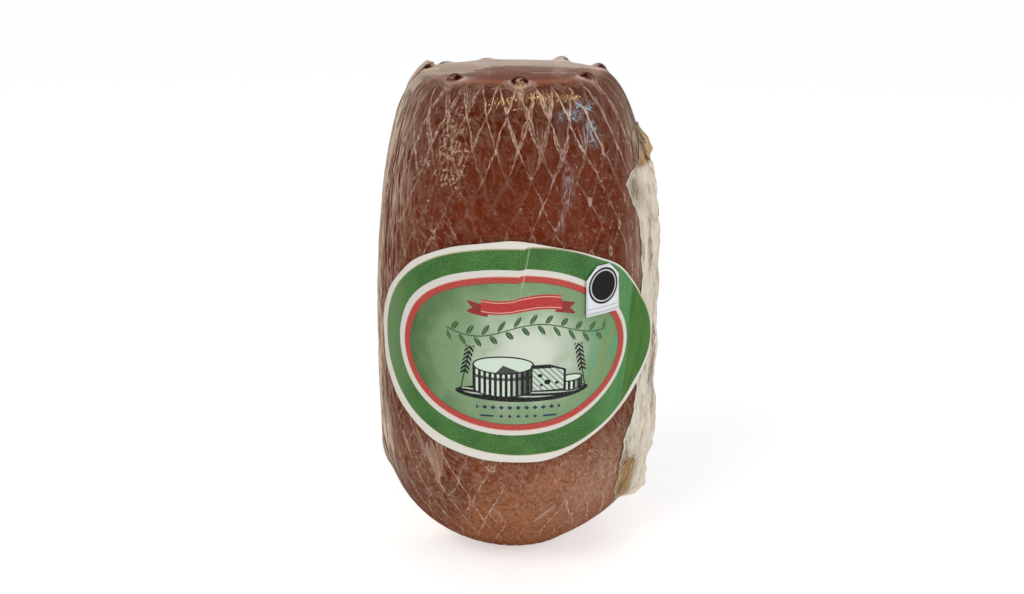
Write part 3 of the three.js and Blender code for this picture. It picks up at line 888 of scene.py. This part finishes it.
def folded_seam(name, heights, front, back, rise, crumple, smoked, material, seed, melts=0.0, top_lift=0.0):
    """A flat tube along the side. Its section leaves the film at the front edge, climbs over long
    folds to its full rise near the back edge, and returns close to the film:
    out = thickness + rise * section * (1 + folds), where the folds are noise drawn out lengthwise.
    Peaks to the right of FLAT_FROM are pressed in by half. Front and back are in degrees, and melts
    is how far both edges take on the look of the hazy film beside them."""
    half = SEAM_COLUMNS
    steps = ease(np.linspace(0, 1, half), 0, 1)
    across = np.concatenate([steps, steps[::-1][1:]])
    outer = np.concatenate([np.ones(half), np.zeros(half - 1)])
    outer[[0, half - 1]] = 0.5
    share, z = np.meshgrid(across, heights)
    upper = np.broadcast_to(outer, share.shape)
    angle = np.radians(front(z) + (back(z) - front(z)) * share)
    flat = np.stack([angle * BELLY_RADIUS, 0 * z + seed * 31, z], axis=-1)
    fold = 1 - np.abs(2 * grain(flat * (1, 1, 0.14), 3.6, seed) - 1)
    crease = 1 - np.abs(2 * grain(flat * (1, 1, 0.45) + fold[..., None], 2.1, seed + 1) - 1)
    pucker = grain(flat, 1.5, seed + 2) - 0.5
    folds = 0.90 * (fold - 0.6) + crumple(z) * (0.65 * (crease - 0.6) + 0.60 * pucker)
    section = (0.20 + 0.80 * ease(share, 0.1, 0.75)) * ease(share, 0, 0.22) * (1 - ease(share, 0.86, 1.0))
    lumps = 0.5 * ease(share, 0.5, 0.8) * (grain(flat, 3.3, seed + 4) - 0.5)
    high = SEAM_THICKNESS + rise(z) * section * (1 + folds + lumps)
    out = np.where(upper > 0.75, high, SEAM_GAP)
    out = np.where(np.abs(upper - 0.5) < 0.1, SEAM_EDGE, out)
    out = np.minimum(out, under_label(angle, z))
    points = round_barrel(angle, z, out)
    points[..., 2] += top_lift * ease(z, 112, 118) * upper * hump(share, 0.6, 0.4)
    points[..., 0] -= 0.5 * np.clip(points[..., 0] - FLAT_FROM, 0, None)
    maps = {"skin": np.stack([angle * BELLY_RADIUS, z], axis=-1)}
    thin = (1 - ease(share, 0.10, 0.42)) * (hump(z, 91.5, 4.5) + 1.3 * hump(z, 20, 8))
    masks = {"edge": hump(share, 0, 0.02) * upper * (1 - melts), "fold": fold, "crease": crease, "thin": thin}
    melt = melts * (1 - ease(share, 0.02, 0.40) * (1 - ease(share, 0.70, 0.98)))
    masks.update(smoked=smoked(share, z), melt=melt)
    return closed_skin(name, points, material, maps, masks)


def film_plastic(name, milk, shade):
    material, wire, shader = new_material(name, IOR=1.5, Subsurface_Weight=0.12, Subsurface_Scale=0.002)
    skin_map = wire.uv("skin")
    names = "crease", "edge", "fold", "thin", "smoked", "melt"
    crease, edge, fold, thin, smoked, melt = [wire.mask(name) for name in names]
    wrinkle = skin_map.stretch((1.0, 0.32, 1.0)).noise(0.62, 4.0, 0.58, 0.9)
    # Thin pale lines along the wrinkle ridges: painted highlights
    ridge_highlight = abs(wrinkle - 0.5).fade(0.035, 0.004)
    # Paler on the tops of folds and darker in their valleys: painted light and shade over the milkiness of
    # doubled film
    milky_and_lit = (crease * 0.35 + fold * 0.40 + wrinkle * 0.9).fade(0.68, 1.06) * (1 - thin * 0.6)
    colour = milky_and_lit.blend(shade, milk)
    amber = (smoked + (wrinkle - 0.5) * 0.8).fade(0.35, 0.65)
    # The amber is painted lighter on the creases and darker between them: painted light and shade
    colour = amber.blend(colour, (crease.fade(0.3, 0.9)).blend((118, 68, 32), (214, 166, 104)))
    colour = (ridge_highlight * 0.75 + edge * 0.5).blend(colour, (244, 237, 220))
    colour = (melt * wrinkle.fade(0.85, 0.50)).blend(colour, (204, 166, 144))
    plug(shader, Base_Color=colour, Roughness=0.24 + milky_and_lit * 0.18)
    alpha = 0.70 + milky_and_lit * 0.32 + edge * 0.2 + ridge_highlight * 0.2 - thin * 0.22 - amber * 0.12
    plug(shader, Alpha=alpha.most(melt).least(1.0))
    plug(shader, Normal=(wrinkle * 1.6 + ridge_highlight * 0.30).bump(0.7, 0.001))
    return material


# Right seam: the wide edge, folded back. It is milky where the film is doubled, with painted light on the
# tops of its folds and painted shade in their valleys, and amber where smoke fat sits in its top folds,
# the amber too painted lighter on its creases and darker between them.
RIGHT_LOW, RIGHT_HIGH = 9.0, 105.2
RIGHT_BACK = 98

# Where the front edge runs, as heights and degrees, and how far the seam stands out, as heights and
# millimetres
RIGHT_EDGE = [(9, 81), (10.5, 77), (12, 70), (13.5, 62), (15, 55), (18, 51), (24, 50), (32, 51), (39, 58)]
RIGHT_EDGE += [(48, 60), (62, 62), (70, 64), (83, 64.5), (88, 61), (91.2, 57), (93.9, 54.5), (96.3, 60)]
RIGHT_EDGE += [(98, 70), (101, 76), (105, 84)]
RIGHT_RISE = [(9, 4.4), (10.5, 4.3), (12, 4.1), (13, 3.8), (14.4, 3.1), (16.9, 2.2), (19, 1.6), (21, 1.4)]
RIGHT_RISE += [(25, 1.7), (29, 1.6), (36, 1.5), (41, 0.8), (47, 1.1), (51, 1.5), (56, 1.1), (63, 1.1)]
RIGHT_RISE += [(67, 1.6), (71, 1.5), (78, 2.4), (82, 2.5), (87, 2.3), (92, 1.9), (99, 1.6), (105, 1.2)]


def right_front(z):
    return np.interp(z, *zip(*RIGHT_EDGE)) + 0.5 * np.sin(0.9 * z) + 0.25 * np.sin(2.3 * z + 1)


def right_rise(z):
    return np.interp(z, *zip(*RIGHT_RISE)) * (0.35 + 0.65 * (1 - ease(z, RIGHT_HIGH - 4, RIGHT_HIGH)))


def right_smoked(share, z):
    """Smoke stain, from 0 to 1: all of the top folds, and the front of the foot."""
    return ease(z, 95, 99) + 1.1 * (1 - ease(share, 0.18, 0.30)) * ease(z, 12.5, 16) * (1 - ease(z, 23, 29))


seam_film = film_plastic("seam_film", (242, 226, 206), (190, 165, 139))
seam_right = folded_seam(
    "seam_right_film",
    np.linspace(RIGHT_LOW, RIGHT_HIGH, SEAM_ROWS),
    front=right_front,
    back=lambda z: RIGHT_BACK + 3 * np.sin(0.11 * z) + 0.5 * np.sin(0.9 * z) - 9 * (1 - ease(z, 8, 14)),
    rise=right_rise,
    crumple=lambda z: 0.62 + 0.55 * ease(z, 94, 98),
    smoked=right_smoked,
    material=seam_film,
    seed=41,
)
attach(seam_right, "root")
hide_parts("seam_right")


# Left seam: the narrower sealed edge of the bag, flattened behind the side and drawn up into a
# translucent web at a nub of the rim. Its film is a lighter, creamier copy of the right seam's: partly
# its own cream, partly painted light on a side the lamps reach little.
LEFT_LOW, LEFT_HIGH = 10.2, 118.3
LEFT_ENDS, LEFT_SWING, LEFT_SPREAD = -97, 15, 9


def left_middle(z):
    return LEFT_ENDS - LEFT_SWING * np.sin(math.pi * (z - LEFT_LOW) / (LEFT_HIGH - LEFT_LOW))


def left_rise(z):
    foot = 1.8 * hump(z, 21.5, 6) + 0.6 * hump(z, 17, 3)
    sail = 1.15 * hump(z, 114.5, 3.2)
    return 0.28 + foot * ease(z, LEFT_LOW, LEFT_LOW + 5) + sail + 0.08 * np.sin(0.7 * z)


def left_edges(z):
    """Degrees of the front and the back edge: both swing, and the front reaches forward at the foot."""
    drawn = ease(z, 108, 118)
    front = left_middle(z) + LEFT_SPREAD + 0.8 * np.sin(0.7 * z) - 13 * drawn + 18 * hump(z, 24, 8)
    return front, left_middle(z) - LEFT_SPREAD - 1.2 * np.sin(0.3 * z) - 11 * drawn


# The same film as the right seam, painted lighter: partly its own cream, partly painted light on the left
# side
lit_web_film = film_plastic("lit_web_film", (250, 226, 208), (214, 184, 164))
seam_left = folded_seam(
    "seam_left_film",
    np.linspace(LEFT_LOW, LEFT_HIGH, SEAM_ROWS),
    front=lambda z: left_edges(z)[0],
    back=lambda z: left_edges(z)[1],
    rise=left_rise,
    crumple=lambda z: 0.3 + 0 * z,
    smoked=lambda share, z: 0 * z,
    material=lit_web_film,
    seed=61,
    melts=1.0,
    top_lift=1.15,
)
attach(seam_left, "root")
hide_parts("seam_left")


# Label: an oval of printed, satin-coated paper, stuck on over the film. Its right end rides up on
# the seam, and a small pleat crosses its top edge.
def label_points(x, y, out):
    return round_barrel((x + LABEL_SHIFT) / BELLY_RADIUS, LABEL_HEIGHT + y, out)


def sheet_grid(shares, spokes):
    """A round grid over both faces of a sheet: the angle of each spoke, the share of the way to the edge,
    and 1 on the face, 0.5 at the edge and 0 on the back."""
    rings = np.concatenate([shares, [1.0], shares[::-1]])
    faces = np.concatenate([np.ones(len(shares)), [0.5], np.zeros(len(shares))])
    spoke, ring = np.meshgrid(np.linspace(0, 2 * math.pi, spokes), rings)
    return spoke, ring, np.broadcast_to(faces[:, None], spoke.shape)


spoke, ring, face = sheet_grid(np.append(np.linspace(0.008, 0.985, 74), [0.992, 0.997, 0.9995]), 241)
edge_wave = 1 + 0.004 * np.sin(9 * spoke + 1) + 0.003 * np.sin(17 * spoke)
label_x = LABEL_HALF_WIDTH * ring * edge_wave * np.cos(spoke)
label_y = LABEL_HALF_HEIGHT * ring * edge_wave * np.sin(spoke)
bevel = 1 - 0.35 * ease(ring, 0.99, 1.0)
label_tall = label_y * label_taper(label_x, label_y)
label_height = label_out(label_x, label_tall) + PAPER * (0.5 + (face - 0.5) * bevel)

printed, wire, shader = new_material("printed_paper", IOR=1.45)
print_map, rim = wire.uv("print"), wire.mask("rim")
x, y = print_map.part(0), print_map.part(1)


def oval(x, y, at_x, at_y, wide, tall):
    """Way to an oval's middle as a share of its half sizes, so its edge is at 1."""
    dx, dy = (x - at_x) / wide, (y - at_y) / tall
    return (dx * dx + dy * dy) ** 0.5


def inside_oval(x, y, at_x, at_y, wide, tall, soft=0.06):
    return oval(x, y, at_x, at_y, wide, tall).fade(1 + soft / wide, 1 - soft / wide)


def inside_box(x, y, at_x, at_y, wide, tall, soft=0.06):
    return (abs(x - at_x) - wide).most(abs(y - at_y) - tall).fade(soft, -soft)


speckle = print_map.noise(2.6, 2.0, 0.7)
cloud = print_map.noise(0.16, 3.0, 0.5)
right_end = x.fade(25, 34)
# Cooler and whiter towards the right end: painted cool light from the window at the right
paper_white = right_end.blend((222, 217, 206), (222, 222, 216))
print_ring = right_end.blend((216, 211, 202), (226, 234, 226))
green = (speckle * 0.5 + cloud * 0.5).fade(0.3, 0.7).blend((44, 100, 32), (74, 128, 54))
# The band's left end is painted lighter: painted sheen
green = x.fade(-24, -37).blend(green, (108, 140, 88))
slant_map = wire.pair(x - y * 0.35, (y + x * 0.35) * 0.13)
streaks = slant_map.noise(0.55, 3.0, 0.55)
# The band is painted lighter towards the right and streaked with lighter green and teal: painted light from
# the right and painted sheen
green = (x.fade(14, 26) * 0.7).blend(green, (84, 148, 80))
green = (x.fade(20, 27) * streaks.fade(0.46, 0.60) * 0.35).blend(green, (104, 152, 84))
green = (x.fade(20, 27) * streaks.fade(0.46, 0.36) * 0.4).blend(green, (46, 124, 84))
past_fold = (x - 29.5 - y * 0.155 + (y * 0.22).sine() * 0.3).fade(-0.2, 0.3)
green = past_fold.blend(green, streaks.fade(0.30, 0.70).blend((58, 112, 30), (80, 130, 44)))
colour = inside_oval(x, y, 0.5, 0.45, 37.8, 24.95).blend(paper_white, (168, 164, 122))
upper_right = rim.fade(0.988, 0.980) * x.fade(8, 14) * y.fade(2, 6)
colour = inside_oval(x, y, 0.5, 0.38, 37.65, 24.73).most(upper_right).blend(colour, green)
glow = oval(x, y, 2.5, 0.0, 30.0, 25.0) + (cloud - 0.5) * 0.45
ground = glow.fade(0.08, 0.62).blend((206, 214, 198), (124, 154, 110))
ground = glow.fade(0.62, 1.02).blend(ground, (70, 112, 56))
# The ground too is painted lighter towards the right, with teal and olive streaks at the upper right: painted
# light from the right and painted sheen
streaked_sheen_patch = x.fade(12, 19) * y.fade(14, 6)
ground = (x.fade(14, 25) * 0.6).blend(ground, (104, 150, 76))
ground = (streaked_sheen_patch * streaks.fade(0.47, 0.38) * 0.55).blend(ground, (80, 164, 138))
ground = (streaked_sheen_patch * streaks.fade(0.50, 0.62) * 0.40).blend(ground, (140, 158, 90))

# The rings inwards: middle, half sizes and colour of a white one, a red one with soft outlines, and
# the ground
for at_x, at_y, wide, tall, tint in (
    (-1.15, 0.55, 30.05, 19.95, print_ring),
    (-0.8, 0.4, 28.65, 18.7, (212, 160, 140)),
    (-0.8, 0.4, 28.45, 18.5, (186, 62, 52)),
    (-0.8, 0.42, 26.6, 17.2, (96, 88, 52)),
    (-0.8, 0.42, 26.45, 17.05, ground),
):
    colour = inside_oval(x, y, at_x, at_y, wide, tall).blend(colour, tint)

# A red ribbon with forked ends, gently waved
wave_y = y - 12.0 - (x * 0.28).sine() * 0.7
ribbon = inside_box(x, wave_y, 0.8, 0, 9.2, 1.75)
tail_y = wave_y + 0.9
forks = inside_box(x, tail_y, 0.8, 0, 12.4, 1.45) * (abs(x - 0.8)).fade(7.6, 7.7)
forks = forks * (abs(x - 0.8) + abs(tail_y) * -1.2 - 11.2).fade(0.1, -0.1)
colour = forks.blend(colour, (146, 38, 36))
colour = ribbon.blend(colour, (186, 44, 44))
ribbon_line = abs(abs(wave_y) - 1.25).fade(0.14, 0.04) * ribbon
colour = (ribbon_line * 0.8).blend(colour, (232, 196, 176))

# A garland of green leaves on a waving stem
stem_y = y - 5.8 - (x * 0.22 + 0.6).sine() * 1.5
in_garland = (abs(x - 2.5)).fade(19.2, 19.0)
stem = abs(stem_y).fade(0.2, 0.08) * in_garland
green_ink = (44, 92, 36)
colour = stem.blend(colour, green_ink)
for side in (1, -1):
    leaf_x = (x + side * 0.9).wrap(-1.8, 1.8) - abs(stem_y) * 0.55
    leaf = oval(leaf_x, stem_y, 0, side * 1.35, 0.62, 1.15).fade(1.06, 0.9) * in_garland
    colour = leaf.blend(colour, green_ink)
    vein = abs(leaf_x).fade(0.12, 0.03) * leaf
    colour = (vein * 0.6).blend(colour, (150, 180, 140))

# A cut cheese wheel, a wedge and a small round cheese on a board, in black line and hatching
ink = (30, 32, 30)
pale_ink = (206, 222, 204)
hatch = (x * 5.2).sine().fade(-0.1, 0.35)
board = inside_oval(x, y, 1.0, -9.1, 15.6, 2.1)
colour = board.blend(colour, ink)
board_grain = ((y + x * 0.04 + 9.1) * 6.5).sine().fade(0.2, 0.7)
colour = (inside_oval(x, y, 1.0, -8.7, 14.4, 1.5) * board_grain * 0.75).blend(colour, pale_ink)


def wheel(colour, at, low, high, wide, tall):
    """A round cheese seen from a little above: an outlined top oval over a hatched side."""
    side = inside_box(x, y, at, (low + high) / 2, wide, (high - low) / 2)
    side = side.most(inside_oval(x, y, at, low, wide, tall))
    colour = side.blend(colour, ink)
    lit = inside_box(x, y, at, (low + high) / 2, wide - 0.4, (high - low) / 2)
    lit = lit.most(inside_oval(x, y, at, low, wide - 0.4, tall - 0.35))
    dark_side = (x - at).fade(wide * 0.1, wide * 0.75)
    colour = (lit * hatch * (1 - dark_side * 0.9)).blend(colour, pale_ink)
    colour = inside_oval(x, y, at, high, wide, tall).blend(colour, ink)
    return inside_oval(x, y, at, high, wide - 0.4, tall - 0.35).blend(colour, pale_ink)


WHEEL_X, WHEEL_TOP = -3.4, -2.4
colour = wheel(colour, WHEEL_X, -8.0, WHEEL_TOP, 7.0, 2.2)
wheel_x, wheel_y = x - WHEEL_X, y - WHEEL_TOP
notch = (wheel_x * 0.42 + wheel_y).fade(0.1, -0.1) * (wheel_x * -1.1 + wheel_y).fade(0.1, -0.1)
cut = notch * inside_oval(x, y, WHEEL_X, WHEEL_TOP, 6.6, 1.85)
colour = cut.blend(colour, (70, 76, 70))
band_y = y + 5.8 - wheel_x * wheel_x * 0.018
band = abs(band_y).fade(0.42, 0.3) * inside_box(x, y, WHEEL_X, -5.4, 6.8, 2.0)
colour = (band * 0.85).blend(colour, ink)
colour = wheel(colour, 12.2, -8.4, -6.2, 2.9, 1.0)
slope = (x - 3.2) * 0.36 + (y + 3.2)
wedge = inside_box(x, y, 6.9, -5.6, 4.1, 3.2) * (slope - 2.2).fade(0.08, -0.08)
colour = wedge.blend(colour, ink)
wedge_in = inside_box(x, y, 6.8, -5.9, 3.6, 2.6) * (slope - 1.7).fade(0.08, -0.08)
hatch_slant = ((x + y) * 4.6).sine().fade(0.0, 0.4)
colour = (wedge_in * (hatch_slant * 0.5 + 0.5)).blend(colour, pale_ink)
for hole_x, hole_y, hole in ((4.9, -5.0, 0.55), (6.6, -6.6, 0.75), (8.8, -6.9, 0.45), (5.2, -7.3, 0.4)):
    colour = inside_oval(x, y, hole_x, hole_y, hole, hole * 0.8).blend(colour, ink)
for ear in (-12.2, 15.0):
    lean = x - ear - (y + 4.0) * (0.22 if ear < 0 else -0.16)
    stalk = abs(lean).fade(0.2, 0.1) * inside_box(x, y, ear, -4.4, 3, 5.2)
    grains = (y * 0.9 + abs(lean) * 0.9).zigzag(0.5)
    kernels = abs(lean).fade(1.15, 0.95) * grains.fade(0.14, 0.22) * inside_box(x, y, ear, -1.4, 3, 3.4)
    colour = stalk.most(kernels).blend(colour, ink)

# Small navy ornaments: two rows of diamonds between short bars
navy = (30, 44, 86)
for row_y, reach, size in ((-12.6, 9.6, 0.62), (-14.7, 4.6, 0.5)):
    diamond = (x.zigzag(0.95) + abs(y - row_y) * 1.2 - size).fade(0.06, -0.06)
    diamond = diamond * abs(x).fade(reach, reach - 0.05)
    colour = diamond.blend(colour, navy)
bars = inside_box(abs(x), y, 7.2, -14.7, 1.6, 0.22)
colour = bars.blend(colour, navy)

crease_line = abs(past_pleat(x, y)).fade(0.28, 0.05) * y.fade(12, 18)
colour = (crease_line * 0.22).blend(colour, (238, 238, 232))
colour = (speckle.fade(0.45, 0.75) * 0.10).blend(colour, (235, 235, 228))
plug(shader, Base_Color=colour, Roughness=0.42 + speckle * 0.2)
paper_relief = speckle * 0.02 + print_map.noise(0.5, 3.0, 0.5) * 0.10
plug(shader, Normal=paper_relief.bump(0.5, 0.001))

# The print is set a little to the left and askew on its paper, and is shifted at the pleat
pleated = ease(label_y, 8, 16) * (1 - ease(past_pleat(label_x, label_y), -0.3, 0.3))
print_x = label_x - 0.6
print_y = label_tall / (1 - (0.085 + 0.045 * (label_tall < 0)) * ease(print_x, 8, 34)) + 0.45 * pleated - 0.05
askew = 0.65 * ease(-print_x, 4, 22) - 0.38 * ease(print_x, -8, 2)
label_print = np.stack([print_x, print_y - askew * ease(label_y, 4, 14)], axis=-1)
label_skin = label_points(label_x, label_tall, label_height)
label = closed_skin("label_paper", label_skin, printed, {"print": label_print}, {"rim": ring})
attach(label, "root")
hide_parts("label")


# Sticker: a small dark tag of gloss paper, with a white border and two cut corners. It is stuck on the
# label at its upper right, and its corners curl up a little.
STICKER_WIDTH, STICKER_HEIGHT, STICKER_CORNER = 9.6, 11.4, 2.9
STICKER_ANGLE, STICKER_MIDDLE, STICKER_TILT = 36.0, 71.7, 2
STICKER_SHEAR = 0.065
STICKER_OUT = 0.98
STICKER_PAPER = 0.14


def sticker_reach(spoke):
    """Way from the middle to the tag's edge: the nearest of its straight sides, as a polygon's."""
    c, s = np.cos(spoke), np.sin(spoke)
    sides = [
        STICKER_WIDTH / 2 / np.maximum(np.abs(c), 1e-6),
        STICKER_HEIGHT / 2 / np.maximum(np.abs(s), 1e-6),
        (STICKER_WIDTH / 2 + STICKER_HEIGHT / 2 - STICKER_CORNER) / np.maximum(np.abs(c) + s, 1e-6),
    ]
    return np.min(sides, axis=0)


spoke, ring, face = sheet_grid(np.append(np.linspace(0.04, 0.97, 22), [0.985, 0.995]), 161)
reach = sticker_reach(spoke) * ring
tag_x, tag_y = reach * np.cos(spoke), reach * np.sin(spoke)
tilt = math.radians(STICKER_TILT)
turned_x = tag_x * math.cos(tilt) - tag_y * math.sin(tilt) + STICKER_SHEAR * tag_y
turned_y = tag_x * math.sin(tilt) + tag_y * math.cos(tilt)
tag_angle = math.radians(STICKER_ANGLE) + turned_x / BELLY_RADIUS
curl_up = 0.10 * ease(np.hypot(tag_x, tag_y), 5, 8)
tag_out = STICKER_OUT + curl_up + STICKER_PAPER * (0.5 + (face - 0.5) * (1 - 0.4 * ease(ring, 0.985, 1)))

tag_print, wire, shader = new_material("sticker_print", IOR=1.5)
tag_map = wire.uv("print")
x, y = tag_map.part(0), tag_map.part(1)
speckle = tag_map.noise(3.0, 2.0, 0.6)
colour = (speckle * 0.3).blend((228, 230, 233), (205, 206, 208))
field = inside_oval(x, y, 0, 0.9, 4.25, 4.2, 0.05)
colour = field.blend(colour, (speckle * 0.4).blend((38, 34, 31), (52, 47, 44)))
inner = abs(oval(x, y, 0, 0.9, 3.6, 3.55) - 1).fade(0.06, 0.03)
colour = (inner * 0.9).blend(colour, (214, 214, 212))
rule = abs(abs(y + 4.55) - 0.5).fade(0.10, 0.04) * abs(x).fade(4.5, 4.4)
colour = (rule * 0.7).blend(colour, (90, 88, 88))
frame_line = abs((abs(x) - 4.5).most(abs(y) - 5.35)).fade(0.10, 0.03)
colour = (frame_line * 0.5).blend(colour, (120, 120, 122))
plug(shader, Base_Color=colour, Roughness=0.30 + speckle * 0.12)

sticker = closed_skin(
    "sticker_tag",
    round_barrel(tag_angle, STICKER_MIDDLE + turned_y, tag_out),
    tag_print,
    {"print": np.stack([tag_x, tag_y], axis=-1)},
)
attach(sticker, "root")
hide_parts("sticker")
